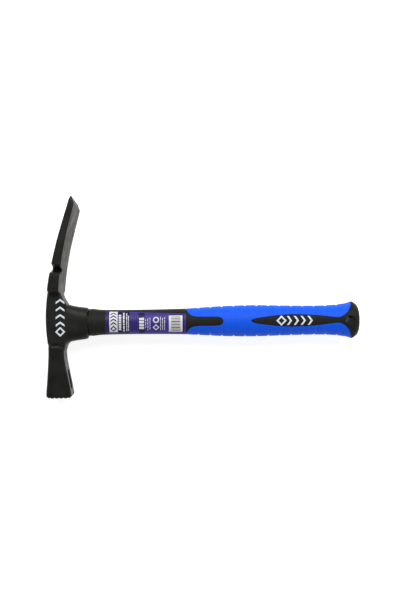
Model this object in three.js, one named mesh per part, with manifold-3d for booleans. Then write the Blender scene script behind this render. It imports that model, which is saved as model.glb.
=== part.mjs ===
// Adze hammer with a steel head on a fibreglass handle, lying on its side.
// Millimetres. +X runs along the handle from the head to the grip's end, +Y towards the adze
// blade, +Z up through the hammer's thickness. The pieces are drawn in the hammer's own
// coordinates (x = 0 at the head's outer face, y = 0 on the handle's axis, z = 0 on the plane
// of symmetry) and the group at the end moves them so that the box stands on z = 0.
import * as THREE from 'three';
import { mergeVertices } from 'three/addons/utils/BufferGeometryUtils.js';
import Module from 'manifold-3d';

const wasm = await Module();
wasm.setup();

// ---------------------------------------------------------------- driving dimensions
const LENGTH = 300;              // outer face of the head to the end of the grip
const EDGE_Y = 117;              // cutting edge above the handle's axis
const FACE_Y = -70.5;            // striking face below the handle's axis
const BLADE_HALF_TIP = 25.5;     // half the blade's width at the cutting edge
const BLADE_HALF_ROOT = 23;      // half the blade's width at the eye
const EYE_HALF = 13;             // half the thickness of the eye block
const EYE_CHAMFER = 1.2;
const POLL_HALF = 12.5;          // half the thickness of the poll
const POLL_CHAMFER = 1.4;
const SOCKET_END = 38.5;         // where the steel socket stops along the handle
const SOCKET_FLATNESS = 0.74;    // the socket's thickness over its height
const FLATNESS = 0.82;           // the handle's thickness over its height
const GAP = 0.3;                 // clearance left between touching pieces

const CORE_RADIUS = 7.5;         // fibreglass core
const EYE_RADIUS = 10.5;         // hole through the eye
const SPIGOT_RADIUS = 11.2;      // wider mouth of the socket, which takes the jacket's spigot
const SPIGOT_START = 29;
const CORE_START = 5;
const CORE_END = 276;
const RESIN_START = 2;           // the resin stops just inside the outer face

const GRIP_START = 131;          // front edge of the soft sleeve
const GRIP_END = 292.4;          // widest place, where the sleeve stops against the end cap
const UNDER_GRIP_RADIUS = 10;    // jacket under the sleeve
const UNDER_GRIP_END = 291;      // inside the end cap
const JACKET_OVERLAP = 4;        // shaft, tongues and under-grip run into each other
const TONGUE_TIP = 166.3;        // rear end of the tongues
const TONGUE_HALF = 4.45;        // half the height of a tongue
const INLAY_TIP = 193;           // front end of the palm inlays
const RING_FIRST = 143.4;        // first ring groove of the sleeve
const RING_PITCH = 11.26;
const RING_COUNT = 13;
const RING_HALF_WIDTH = 1.1;
const RING_DEPTH = 0.55;

const HANG_HOLE_X = 287.8;
const HANG_HOLE_RADIUS = 3.6;
const HOLE_SIDES = 20;

const NOTCH_Y = 49.6;            // nail notch in the blade's edge
const NOTCH_MOUTH = 8.4;
const NOTCH_THROAT = 3;
const NOTCH_DEPTH = 13;
const NOTCH_X = 10;              // middle of the blade's thickness at the notch
const BLADE_LEAN = THREE.MathUtils.degToRad(12);   // of the blade where the notch is cut

const RECESS_TOP = -44;          // long recess in the poll's inner side
const RECESS_BOTTOM = -63;
const RECESS_HALF = 5;
const RECESS_SEAT = 19.2;        // x of the recess's floor, half way along it
const RECESS_LEAN = THREE.MathUtils.degToRad(11.2);

const TOOTH_PITCH = 4.1;         // chequered striking face
const TOOTH_GROOVE = 1.5;
const TOOTH_DEPTH = 0.9;
const FACE_CENTRE_X = 11.85;

const LABEL_START = 55.2;
const LABEL_END = 130.5;
const LABEL_THICKNESS = 0.25;

const ROUND_SEGMENTS = 36;       // facets around the handle
const ARC_SEGMENTS = 8;          // facets along a curve of an outline
const FAR = 60;                  // reaches past the hammer in any cut

// Half the handle's height at stations along the axis.
const JACKET_STATIONS = [
  [44.5, 12.75], [54, 11.95], [70, 11.75], [88, 11.75], [107, 11.95], [126, 12.25], [GRIP_START, 12.4],
];
const GRIP_STATIONS = [
  [GRIP_START, 12.4], [149, 13.55], [168, 14.6], [194, 15.2], [220, 14.75], [246, 14.25], [264, 14.3],
  [277, 15], [288, 16.45], [GRIP_END, 17.95],
];
const END_STATIONS = [
  [293.4, 17.95], [295.6, 16.7], [297.4, 15.2], [298.6, 12.5], [LENGTH, 8],
];

// ---------------------------------------------------------------- shape helpers
const point = (x, y) => new THREE.Vector2(x, y);

function toSolid(geometry) {
  const bare = geometry.clone();
  bare.deleteAttribute('normal');
  bare.deleteAttribute('uv');
  const merged = mergeVertices(bare, 1e-4);
  const corners = [];
  for (let i = 0; i < merged.index.count; i += 3) {
    const [a, b, c] = [0, 1, 2].map((k) => merged.index.getX(i + k));
    if (a !== b && b !== c && c !== a) {
      corners.push(a, b, c);
    }
  }
  return new wasm.Manifold(new wasm.Mesh({
    numProp: 3,
    vertProperties: new Float32Array(merged.attributes.position.array),
    triVerts: new Uint32Array(corners),
  }));
}

function toGeometry(solid) {
  const mesh = solid.getMesh();
  const geometry = new THREE.BufferGeometry();
  geometry.setAttribute('position', new THREE.BufferAttribute(mesh.vertProperties, 3));
  geometry.setIndex(new THREE.BufferAttribute(mesh.triVerts, 1));
  geometry.computeVertexNormals();
  return geometry;
}

// A plate on the plane of symmetry. The chamfer takes the rim off both faces.
function plate(shape, half, chamfer = 0) {
  const geometry = new THREE.ExtrudeGeometry(shape, {
    depth: 2 * (half - chamfer),
    curveSegments: ARC_SEGMENTS,
    bevelEnabled: chamfer > 0,
    bevelThickness: chamfer,
    bevelSize: chamfer,
    bevelOffset: -chamfer,
    bevelSegments: 1,
  });
  geometry.translate(0, 0, chamfer - half);
  return toSolid(geometry);
}

// A solid turned about the handle's axis from [x, radius] points, then flattened in z.
function turned(profile, flatness = FLATNESS) {
  const points = profile.map(([x, radius]) => point(radius, x));
  const geometry = new THREE.LatheGeometry(points, ROUND_SEGMENTS);
  geometry.rotateZ(-Math.PI / 2);
  geometry.scale(1, 1, flatness);
  return toSolid(geometry);
}

// An outline in (z, y), pushed along x from one x to another.
function pushedAlongX(shape, from, to) {
  const geometry = new THREE.ExtrudeGeometry(shape, {
    depth: to - from,
    curveSegments: ARC_SEGMENTS,
    bevelEnabled: false,
  });
  geometry.rotateY(Math.PI / 2);
  geometry.translate(from, 0, 0);
  return geometry;
}

// The smooth line through the stations, as [x, radius] points.
function smooth(stations, pieces) {
  const curve = new THREE.SplineCurve(stations.map(([x, radius]) => point(x, radius)));
  return curve.getPoints(pieces).map((p) => [p.x, p.y]);
}

function polygon(points) {
  return new THREE.Shape(points.map(([x, y]) => point(x, y)));
}

// ---------------------------------------------------------------- head
function bladeSide() {
  const side = new THREE.Shape();
  side.moveTo(25.7, EDGE_Y);
  side.lineTo(23.8, 114.4);
  side.lineTo(13.5, 80);
  side.quadraticCurveTo(5.95, 54.4, 2.9, 29);
  side.lineTo(2.9, 20);
  side.lineTo(13.4, 20);
  side.lineTo(13.4, 30);
  side.quadraticCurveTo(14.8, 57.2, 26.2, 103);
  side.lineTo(28.3, 110.5);
  side.closePath();
  return side;
}

// The blade seen from the outside: it widens towards its edge and narrows to the eye block.
function bladeFront() {
  const half = [
    [BLADE_HALF_TIP - 1.5, EDGE_Y + 1], [BLADE_HALF_TIP, EDGE_Y - 1.5], [BLADE_HALF_ROOT, 31],
    [BLADE_HALF_ROOT - 2, 28.5], [EYE_HALF, 26.5], [EYE_HALF - 1, 19],
  ];
  const mirrored = half.map(([z, y]) => [-z, y]).reverse();
  return toSolid(pushedAlongX(polygon([...half, ...mirrored]), -FAR, FAR));
}

function eyeSide() {
  const side = new THREE.Shape();
  side.moveTo(1.8, 28.5);
  side.quadraticCurveTo(-1.8, 2, 1.8, -19.5);
  side.lineTo(17.8, -20.5);
  side.lineTo(25, -15);
  side.lineTo(25, 15.4);
  side.quadraticCurveTo(17.6, 17.2, 13.4, 28.5);
  side.closePath();
  return side;
}

function pollSide() {
  const side = new THREE.Shape();
  side.moveTo(1.9, -15);
  side.quadraticCurveTo(2.6, -32, 0, -68);
  side.lineTo(1.9, FACE_Y);
  side.lineTo(21.8, FACE_Y);
  side.lineTo(23.5, -68.8);
  side.quadraticCurveTo(20.8, -54, 17.4, -38);
  side.quadraticCurveTo(16.5, -31, 17.9, -25);
  side.quadraticCurveTo(18.8, -18.6, 27, -17.1);
  side.lineTo(27, -12);
  side.closePath();
  return side;
}

function socketBody() {
  const profile = [
    [10, 0], [10, 17.2], [18, 17.4], [26, 16.4], [33, 15.5],
    [SOCKET_END - 1, 14.9], [SOCKET_END, 14], [SOCKET_END, 0],
  ];
  return turned(profile, SOCKET_FLATNESS);
}

// Hole right through the eye, wider at the socket's mouth.
function eyeHole() {
  const profile = [
    [-FAR, 0], [-FAR, EYE_RADIUS], [SPIGOT_START, EYE_RADIUS], [SPIGOT_START, SPIGOT_RADIUS],
    [FAR, SPIGOT_RADIUS], [FAR, 0],
  ];
  return turned(profile);
}

// Tapered notch in the blade's upper edge, square to the leaning blade.
function nailNotch() {
  const mouth = NOTCH_MOUTH / 2;
  const throat = NOTCH_THROAT / 2;
  const bottom = BLADE_HALF_ROOT - NOTCH_DEPTH + throat;
  const taper = (mouth - throat) / (BLADE_HALF_ROOT - bottom);
  const top = BLADE_HALF_TIP + 1;
  const mouthAtTop = mouth + taper * (top - BLADE_HALF_ROOT);
  const shape = new THREE.Shape();
  shape.moveTo(-top, -mouthAtTop);
  shape.lineTo(-bottom, -throat);
  shape.absarc(-bottom, 0, throat, -Math.PI / 2, Math.PI / 2, false);
  shape.lineTo(-top, mouthAtTop);
  shape.closePath();
  const geometry = pushedAlongX(shape, -FAR, FAR);
  geometry.rotateZ(-BLADE_LEAN);
  geometry.translate(NOTCH_X, NOTCH_Y, 0);
  return toSolid(geometry);
}

// Long round-ended recess in the poll's inner side, square to that leaning side.
function pollRecess() {
  const reach = (RECESS_TOP - RECESS_BOTTOM) / 2 - RECESS_HALF;
  const shape = new THREE.Shape();
  shape.absarc(0, reach, RECESS_HALF, 0, Math.PI, false);
  shape.absarc(0, -reach, RECESS_HALF, Math.PI, 2 * Math.PI, false);
  shape.closePath();
  const geometry = pushedAlongX(shape, 0, FAR);
  geometry.rotateZ(RECESS_LEAN);
  geometry.translate(RECESS_SEAT, (RECESS_TOP + RECESS_BOTTOM) / 2, 0);
  return toSolid(geometry);
}

// One straight groove in the striking face, along x or along z, with sloping sides.
function faceGroove(offset, alongX) {
  const mouth = TOOTH_GROOVE / 2;
  const floor = TOOTH_GROOVE / 6;
  const slope = mouth - floor;
  const vee = polygon([
    [-mouth - slope, -TOOTH_DEPTH],
    [mouth + slope, -TOOTH_DEPTH],
    [floor, TOOTH_DEPTH],
    [-floor, TOOTH_DEPTH],
  ]);
  const geometry = new THREE.ExtrudeGeometry(vee, { depth: 2 * FAR, bevelEnabled: false });
  geometry.translate(0, 0, -FAR);
  if (alongX) {
    geometry.rotateY(Math.PI / 2);
  }
  geometry.translate(alongX ? 0 : FACE_CENTRE_X + offset, FACE_Y, alongX ? offset : 0);
  return toSolid(geometry);
}

function faceGrooves() {
  const steps = [-2, -1, 0, 1, 2].map((step) => step * TOOTH_PITCH);
  const grooves = steps.flatMap((offset) => [faceGroove(offset, false), faceGroove(offset, true)]);
  return grooves.reduce((all, groove) => all.add(groove));
}

function hammerHead() {
  const poll = plate(pollSide(), POLL_HALF, POLL_CHAMFER);
  const eye = plate(eyeSide(), EYE_HALF, EYE_CHAMFER);
  const blade = plate(bladeSide(), FAR).intersect(bladeFront());
  const head = blade.add(eye).add(poll).add(socketBody());
  const cuts = [eyeHole(), nailNotch(), pollRecess(), faceGrooves()];
  return cuts.reduce((rest, cut) => rest.subtract(cut), head);
}

// ---------------------------------------------------------------- handle
function coreRod() {
  return turned([[CORE_START, 0], [CORE_START, CORE_RADIUS], [CORE_END, CORE_RADIUS], [CORE_END, 0]]);
}

// Resin cast round the core in the eye, with a cap over the core's end.
function eyeResin() {
  const outer = EYE_RADIUS - GAP;
  const inner = CORE_RADIUS + GAP;
  const end = SPIGOT_START - GAP;
  const cap = CORE_START - GAP;
  return turned([
    [RESIN_START, 0], [RESIN_START, outer], [end, outer], [end, inner], [cap, inner], [cap, 0],
  ]);
}

// The front black area in side view: the shaft, and a tongue that runs back into the grip.
// grow widens it all round, to leave a gap when it is cut from the sleeve.
function tongueOutline(grow) {
  const start = GRIP_START + grow;
  const tip = TONGUE_TIP + grow;
  const shape = new THREE.Shape();
  shape.moveTo(20, FAR);
  shape.lineTo(start, FAR);
  shape.lineTo(start, 12.6 + grow);
  shape.quadraticCurveTo(134 + grow, 5 + grow, 142.5, TONGUE_HALF + grow);
  shape.lineTo(161.5, TONGUE_HALF + grow);
  shape.quadraticCurveTo(tip, 3.8 + grow, tip, 0);
  shape.quadraticCurveTo(tip, -3.8 - grow, 161.5, -TONGUE_HALF - grow);
  shape.lineTo(142.5, -TONGUE_HALF - grow);
  shape.quadraticCurveTo(134 + grow, -5 - grow, start, -12.6 - grow);
  shape.lineTo(start, -FAR);
  shape.lineTo(20, -FAR);
  shape.closePath();
  return shape;
}

// The rear black area in side view: a long leaf-shaped palm inlay that opens into the end cap.
function inlayOutline(grow) {
  const upper = new THREE.SplineCurve([
    point(INLAY_TIP - grow, 0), point(197, 2.1 + grow), point(211.4, 4.3 + grow),
    point(231.6, 5.9 + grow), point(257.8, 4.75 + grow), point(276.5, 2.65 + grow),
    point(284.1, 5.7 + grow), point(289 - grow, 14), point(GRIP_END - 0.2 - grow, 19),
  ]).getPoints(40);
  const lower = upper.slice(1).map((p) => point(p.x, -p.y)).reverse();
  return new THREE.Shape([...upper, point(LENGTH + 10, 19), point(LENGTH + 10, -19), ...lower]);
}

function blackAreas(grow) {
  return plate(tongueOutline(grow), FAR).add(plate(inlayOutline(grow), FAR));
}

// The whole grip, before it is shared out between the jacket and the sleeve.
function gripBody() {
  const start = GRIP_START - 2 * JACKET_OVERLAP;
  return turned([[start, 0], [start, 12.2], ...smooth(GRIP_STATIONS, 22), ...END_STATIONS, [LENGTH, 0]]);
}

function hangHole() {
  const geometry = new THREE.CylinderGeometry(HANG_HOLE_RADIUS, HANG_HOLE_RADIUS, 2 * FAR, HOLE_SIDES);
  geometry.rotateX(Math.PI / 2);
  geometry.translate(HANG_HOLE_X, 0, 0);
  return toSolid(geometry);
}

function shaft() {
  const spigot = SPIGOT_RADIUS - GAP;
  return turned([
    [SPIGOT_START + GAP, 0], [SPIGOT_START + GAP, spigot], [SOCKET_END + GAP, spigot],
    [SOCKET_END + GAP, 13.2], [39.8, 13.2], [40.8, 12.4], [42.6, 13],
    ...smooth(JACKET_STATIONS, 10), [GRIP_START, 0],
  ]);
}

function underGrip() {
  const start = GRIP_START - JACKET_OVERLAP;
  return turned([
    [start, 0], [start, UNDER_GRIP_RADIUS], [UNDER_GRIP_END, UNDER_GRIP_RADIUS], [UNDER_GRIP_END, 0],
  ]);
}

function handleJacket() {
  const bore = CORE_RADIUS + GAP;
  const channel = turned([[0, 0], [0, bore], [CORE_END + GAP, bore], [CORE_END + GAP, 0]]);
  const body = shaft().add(underGrip()).add(gripBody().intersect(blackAreas(0)));
  return body.subtract(channel).subtract(hangHole());
}

// The grip's line with a small vee at each ring groove.
function ringedLine() {
  const plain = smooth(GRIP_STATIONS, 44);
  const rings = Array.from({ length: RING_COUNT }, (_, i) => RING_FIRST + i * RING_PITCH);
  const radiusAt = (x) => {
    const next = plain.findIndex(([station]) => station >= x);
    const [[x0, r0], [x1, r1]] = [plain[next - 1], plain[next]];
    return r0 + ((r1 - r0) * (x - x0)) / (x1 - x0);
  };
  const between = plain.filter(([x]) => rings.every((ring) => Math.abs(x - ring) > 2 * RING_HALF_WIDTH));
  const grooves = rings.flatMap((x) => [
    [x - RING_HALF_WIDTH, radiusAt(x - RING_HALF_WIDTH)],
    [x, radiusAt(x) - RING_DEPTH],
    [x + RING_HALF_WIDTH, radiusAt(x + RING_HALF_WIDTH)],
  ]);
  return [...between, ...grooves].sort((a, b) => a[0] - b[0]);
}

function gripSleeve() {
  const bore = UNDER_GRIP_RADIUS + GAP;
  const body = turned([[GRIP_START, bore], ...ringedLine(), [GRIP_END, bore], [GRIP_START, bore]]);
  return body.subtract(blackAreas(GAP));
}

// Printed film on the upper side of the shaft, following its curve.
function shaftLabel() {
  const line = smooth(JACKET_STATIONS, 10).filter(([x]) => x > LABEL_START - 5);
  const outside = line.map(([x, radius]) => [x, radius + GAP + LABEL_THICKNESS]);
  const inside = line.map(([x, radius]) => [x, radius + GAP]).reverse();
  const skin = turned([...outside, ...inside, outside[0]]);
  const outline = polygon([
    [LABEL_START, 10.4], [LABEL_END, 7.4], [LABEL_END, -11], [LABEL_START, -10.8],
  ]);
  const upperHalf = plate(outline, FAR / 2).translate([0, 0, FAR / 2]);
  return skin.intersect(upperHalf);
}

// ---------------------------------------------------------------- assembly
const FINISH = {
  blackPaint: { color: 0x21211d, roughness: 0.38, metalness: 0.35 },
  resin: { color: 0x6d5a2e, roughness: 0.35, metalness: 0 },
  fibreglass: { color: 0xb9b48a, roughness: 0.5, metalness: 0 },
  blackPlastic: { color: 0x272824, roughness: 0.6, metalness: 0 },
  blueRubber: { color: 0x1e5fe6, roughness: 0.55, metalness: 0 },
  film: { color: 0x3a2a86, roughness: 0.3, metalness: 0 },
};

function piece(name, solid, finish) {
  const mesh = new THREE.Mesh(toGeometry(solid), new THREE.MeshStandardMaterial(FINISH[finish]));
  mesh.name = name;
  return mesh;
}

const hammer = new THREE.Group();
hammer.position.set(-LENGTH / 2, -(EDGE_Y + FACE_Y) / 2, BLADE_HALF_TIP);
hammer.add(
  piece('hammer_head', hammerHead(), 'blackPaint'),
  piece('eye_resin', eyeResin(), 'resin'),
  piece('core_rod', coreRod(), 'fibreglass'),
  piece('handle_jacket', handleJacket(), 'blackPlastic'),
  piece('grip_sleeve', gripSleeve(), 'blueRubber'),
  piece('shaft_label', shaftLabel(), 'film'),
);

const assembly = new THREE.Group();
assembly.add(hammer);
export default assembly;
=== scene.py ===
"""Adze hammer with a fibreglass handle: the finished pieces, their finishes and a small studio."""
import math

import bmesh
import bpy
import numpy as np
from mathutils import Matrix, Vector


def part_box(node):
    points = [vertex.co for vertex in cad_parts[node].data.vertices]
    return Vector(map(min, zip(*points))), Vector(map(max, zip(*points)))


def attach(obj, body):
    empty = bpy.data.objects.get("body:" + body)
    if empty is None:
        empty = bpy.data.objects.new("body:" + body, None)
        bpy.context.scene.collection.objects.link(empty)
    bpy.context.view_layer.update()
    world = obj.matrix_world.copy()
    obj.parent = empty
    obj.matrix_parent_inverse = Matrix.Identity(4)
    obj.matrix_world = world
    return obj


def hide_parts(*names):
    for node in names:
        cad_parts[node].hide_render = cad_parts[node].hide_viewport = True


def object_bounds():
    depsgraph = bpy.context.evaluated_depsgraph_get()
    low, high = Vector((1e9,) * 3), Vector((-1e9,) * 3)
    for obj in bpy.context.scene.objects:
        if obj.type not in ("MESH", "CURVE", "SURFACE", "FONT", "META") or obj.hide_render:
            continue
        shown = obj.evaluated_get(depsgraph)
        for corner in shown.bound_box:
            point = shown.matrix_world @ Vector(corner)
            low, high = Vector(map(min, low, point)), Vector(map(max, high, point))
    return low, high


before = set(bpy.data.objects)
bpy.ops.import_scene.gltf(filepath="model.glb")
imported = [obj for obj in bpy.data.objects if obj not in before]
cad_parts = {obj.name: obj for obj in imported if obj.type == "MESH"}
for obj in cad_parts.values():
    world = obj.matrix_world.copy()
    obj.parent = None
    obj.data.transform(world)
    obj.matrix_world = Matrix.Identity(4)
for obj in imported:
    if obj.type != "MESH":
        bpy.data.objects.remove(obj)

bl_info = {
    "name": "Adze Hammer",
    "version": (1, 0, 0),
    "blender": (4, 5, 0),
    "location": "3D View > Sidebar > Hammer",
    "description": "Builds a detailed adze hammer round its packed frame",
    "category": "Add Mesh",
}

# ---------------------------------------------------------------- places taken from the frame
# Shapes are drawn in the hammer's own millimetres: x from the head's outer face along the
# handle, y from the handle's axis towards the blade, z from the plane of symmetry.
MM = 0.001
CAD_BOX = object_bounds()
HEAD_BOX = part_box("hammer_head")
CORE_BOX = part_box("core_rod")
ORIGIN = Vector((
    HEAD_BOX[0].x,
    (CORE_BOX[0].y + CORE_BOX[1].y) / 2,
    (HEAD_BOX[0].z + HEAD_BOX[1].z) / 2,
))


def measured(box):
    """A box's low and high corners in the hammer's own millimetres."""
    return [(corner - ORIGIN) / MM for corner in box]


HEAD_LOW, HEAD_HIGH = measured(HEAD_BOX)
CORE_LOW, CORE_HIGH = measured(CORE_BOX)
JACKET_HIGH = measured(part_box("handle_jacket"))[1]
RESIN_END = measured(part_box("eye_resin"))[1].x
LENGTH = JACKET_HIGH.x
CAP_RADIUS = JACKET_HIGH.y
EDGE_Y = HEAD_HIGH.y
FACE_Y = HEAD_LOW.y
SOCKET_END = HEAD_HIGH.x
BLADE_HALF = HEAD_HIGH.z
CORE_START = CORE_LOW.x
CORE_END = CORE_HIGH.x
CORE_RADIUS = CORE_HIGH.y
FLATNESS = CORE_HIGH.z / CORE_HIGH.y      # the handle's thickness over its height

# ---------------------------------------------------------------- the head's own sizes
EYE_HALF = 13.0             # half the head's thickness at the eye
EYE_RADIUS = 10.5           # radius of the hole that holds the handle
EYE_FLARE = 2.0             # how much wider the hole is at its outer mouth
EYE_MIDDLE = 4.4            # height at which the bulged outer face stands out most
EYE_BULGE = 1.75            # how far that face falls back at EYE_REACH from its middle
EYE_REACH = 24
EYE_BOTTOM = -20.3
EYE_TOP = 28.6
CHEEK_BOTTOM = -19.2        # below it the eye's cheek slopes in to the poll
CHEEK_SLOPE = 0.7
RESIN_SINK = 3.0            # how deep the cast resin lies in the eye
RESIN_CLIMB = 1.1           # how much higher it stands at its edge
SPIGOT_START = 29.0         # from here the hole is wider, for the jacket's end
SPIGOT_RADIUS = EYE_RADIUS + 0.7
POLL_HALF = 12.5
POLL_TOP = -14.0
BLADE_ROOT_HALF = 23.0
EDGE_CORNER = 0.8           # cut off the two corners of the cutting edge
RECESS_MIDDLE = 53.5        # the recess's distance below the handle's axis
RECESS_SPAN = 4.5           # from its middle to the centres of its round ends
RECESS_RADIUS = 5.0
RECESS_SEAT = 19.2          # how far in from the outer face its floor lies
RECESS_LEAN = 11.2          # degrees
NOTCH_Y = 49.6
NOTCH_LEAN = 12             # degrees
NOTCH_THROAT = 1.5          # radius of the notch's bottom
NOTCH_MOUTH = 5.4           # half its width where it opens
FACE_MIDDLE = 11.85         # middle of the striking face, in from the outer face
TOOTH_ROWS = range(-2, 3)
REACH = 40                  # long enough for a cutter to pass through the head

# ---------------------------------------------------------------- the handle's own sizes
COLLAR_END = 44.5
COLLAR_RADIUS = 12.75
GRIP_START = 131.0
GRIP_START_RADIUS = 12.42
GRIP_END = 292.2
TONGUE_TIP = 166.3
INLAY_TIP = 193.0
UNDER_GRIP_RADIUS = 10.05
GAP = 0.05                  # left between bodies that touch
CORE_GAP = 0.15             # left round the core
CORE_BORE = CORE_RADIUS + CORE_GAP
CAP_FLOOR = 295.0           # where the end cap's hollow ends
PARTING = 0.12              # half the parting line between the two mouldings
EDGE_ROUND = 0.6            # rounding of the mouldings along their parting line
SIDES = (0, math.pi)        # the angles of the upper and the under side
COLUMNS = np.sin(np.linspace(-math.pi / 2, math.pi / 2, 49))
FIRST_RING = 143.4          # first ring groove of the sleeve
RING_WIDTH = 0.85
RING_REACH = 2.2            # half the stretch over which a groove needs close rows
RING_FAINT = 0.12           # how much of a groove's depth is left on the upper and under side
RING_FADE = 1.6             # how quickly it fades
HANG_HOLE_X = 287.8
HANG_HOLE_RADIUS = 3.6
HANG_HOLE_RIM = 1.0         # rounding where the hole leaves the surface
HANG_HOLE_DEPTH = 12.3      # from the plane of symmetry to where the rounding starts

# Outlines of the handle: places along it with the radius or half width there.
COLLAR_LINE = ((38.9, 12.35), (39.3, 12.75), (39.9, 12.95), (40.5, 12.8), (41.1, 12.62), (41.8, 12.85),
               (42.6, 13.0), (43.5, 12.92), (COLLAR_END, COLLAR_RADIUS))
SHAFT_LINE = ((COLLAR_END, COLLAR_RADIUS), (49, 12.2), (56, 11.9), (70, 11.75), (88, 11.75), (107, 11.95),
              (126, 12.25), (GRIP_START, GRIP_START_RADIUS))
GRIP_LINE = ((GRIP_START, GRIP_START_RADIUS), (149, 13.55), (168, 14.6), (194, 15.2), (220, 14.75),
             (246, 14.25), (264, 14.3), (277, 15.0), (284, 15.85), (289, 16.8), (GRIP_END, CAP_RADIUS))
END_LINE = ((GRIP_END, CAP_RADIUS), (293.4, CAP_RADIUS), (294.6, 17.35), (296.4, 16.05), (297.6, 15.0),
            (298.4, 13.2), (299.1, 9.0), (LENGTH, 0))
TONGUE_EDGE = ((GRIP_START, GRIP_START_RADIUS), (131.9, 10.6), (133.4, 8.2), (135.4, 6.2), (138.4, 5.0),
               (143, 4.5), (152, 4.35), (160, 4.25), (163.6, 3.6), (165.6, 2.1), (TONGUE_TIP, 0))
INLAY_EDGE = ((INLAY_TIP, 0), (193.7, 1.1), (196.5, 2.1), (203, 3.25), (211.4, 4.3), (220, 5.3),
              (231.6, 5.9), (243, 5.7), (257.8, 4.75), (268, 3.5), (275.5, 2.7), (279, 2.9),
              (283, 4.9), (286.6, 8.0), (289.4, 12.4), (GRIP_END, CAP_RADIUS))

# ---------------------------------------------------------------- the print's own places
# u runs along the handle and v across it, both in millimetres.
LABEL_ROLL = 11.8           # radius that turns the label's height into an angle
LABEL_OUTLINE = ((55.2, -14.6), (130.6, -14.3), (130.9, -14.0), (130.9, 7.2), (130.6, 7.5), (55.2, 13.0))
FILM_LIFT = (0.02, 0.14)    # bottom and top of the film over the shaft
BAND_LIFT = (0.1, 0.16)
PRINT_LIFT = (0.1, 0.18)
TOP_LIFT = (0.14, 0.2)      # for the print on the white panels
DARK_BANDS = ((55.6, 56.5, -14.5, 12.8), (57.1, 58.5, -14.4, 12.7), (66.9, 77.6, -13.6, 11.6),
              (86.0, 92.0, -12.6, 9.6), (128.0, 128.9, -13.8, 7.0))
STRIPES = np.arange(4) * 1.7 + 78.6
STRIPE_WIDTH = 0.7
WHITE_PANELS = ((58.7, 66.5, -10.5, 11.5), (114.7, 127.6, -10.5, 5.8))
# Rows of plain dashes: left, right, low and high sides, the gap, and the dashes' relative lengths.
DASH_ROWS = (
    (67.5, 69.9, -7.9, 7.4, 0.45, (1.5, 1.3, 1.3, 1.4, 1.2, 1.5, 1.3)),
    (71.6, 73.0, -9.9, 9.9, 0.5, (2.2, 3.4, 1.6, 2.8, 3.9, 2.4)),
    (74.6, 75.4, -9.3, 9.2, 0.5, (3.1, 1.8, 4.2, 2.6, 3.3)),
    (76.3, 77.0, -9.3, 6.2, 0.5, (2.6, 3.5, 1.7, 4.4)),
    (86.7, 91.3, -7.0, 4.0, 0.6, (2.3, 2.3, 2.3, 2.3)),
    (92.6, 93.15, -5.6, 2.4, 0.55, (2.1, 3.0, 1.7)),
    (94.6, 95.15, -8.3, 3.6, 0.55, (1.8, 2.6, 2.2, 3.1)),
    (96.6, 97.15, -7.6, 3.9, 0.55, (2.9, 1.6, 3.4, 1.9)),
    (106.6, 107.15, -8.3, 4.7, 0.55, (2.4, 3.3, 1.9, 2.7)),
    (108.5, 109.05, -8.0, 3.6, 0.55, (1.7, 2.8, 2.3, 2.6)),
    (110.4, 110.95, -8.3, 4.4, 0.55, (3.0, 2.0, 3.5, 1.6)),
)
# Rings: middle, radius and number of sides, four of which make a diamond.
RINGS = ((102.6, 1.9, 2.9, 24), (102.5, -5.3, 3.2, 4))
PANEL_BAR_SIDES = (117.0, 125.6)
# Plain bars on the last panel: low side and width.
PANEL_BARS = ((-9.3, 0.9), (-7.7, 0.5), (-6.4, 1.3), (-4.4, 0.5), (-3.2, 0.9), (-1.6, 0.5), (-0.4, 1.2),
              (1.5, 0.5), (2.7, 0.9), (4.2, 0.6))
STAMP_U = 62.6
STAMP_SPAN = (-9.6, 10.2)
STAMP_HEIGHT = 5.6
CHEEK_MARK_X = 13.6
CHEEK_MARK_SPAN = (-12.9, 22.4)
CHEEK_MARK_HEIGHT = 8.0
CHEEK_MARK_LIFT = (-0.25, 0.06)
PALM_MARK_SPAN = (217.0, 252.4)
PALM_MARK_HEIGHT = 8.6
PALM_MARK_LIFT = (-0.1, 0.05)
CHEVRONS = 4

# ---------------------------------------------------------------- the studio's own places
FLOOR_HALF = 3.0                        # metres
LAMP_SIZE = (1.4, 0.7)                  # metres
KEY_PLACE = (0.05, 0.66, 1.0)           # metres from the hammer's middle
FILL_PLACE = (-0.1, -0.95, 0.6)
HAMMER_MIDDLE = (150, 20, 0)            # millimetres, as are the camera's place and aim
CAMERA_PLACE = (102.6, 10.3, 625.4)
CAMERA_AIM = (145.55, 20.0, 0)
CAMERA_ROLL = -0.54                     # degrees
CAMERA_LENS = 38.94
WALL_FADE = (0.25, 0.85)                # heights on the sky where walls turn into ceiling


# ---------------------------------------------------------------- settings
def colour(name, value, text):
    """A colour that a user can change."""
    return bpy.props.FloatVectorProperty(
        name=name, description=text, default=value, size=3, subtype="COLOR", min=0, max=1)


def length(name, millimetres, text):
    """A length that a user can change."""
    return bpy.props.FloatProperty(
        name=name, description=text, default=millimetres * MM, unit="LENGTH", min=0)


def share(name, value, text):
    """A value from 0 to 1 that a user can change."""
    return bpy.props.FloatProperty(
        name=name, description=text, default=value, min=0, max=1, subtype="FACTOR")


class HeadSettings(bpy.types.PropertyGroup):
    paint: colour("Lacquer", (0.0128, 0.0128, 0.0112), "Colour of the black lacquer on the forging")
    streak: colour("Streaks", (0.062, 0.05, 0.03), "Colour of the thin coat inside the blade")
    # Colour of the sharp edges: partly lacquer rubbed thin, partly a painted highlight along the edges.
    edge_wear_and_highlight: colour("Worn edges", (0.06, 0.059, 0.054), "Colour of the edges where the lacquer is rubbed")
    roughness: share("Lacquer roughness", 0.4, "How satin the lacquer is")
    grain: length("Forging grain", 0.36, "Size of the cells that the forging is resolved into")
    tooth_pitch: length("Tooth pitch", 4.1, "Distance between the teeth of the striking face")
    notch_depth: length("Notch depth", 13.0, "Depth of the nail notch from the blade's upper side")


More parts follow.
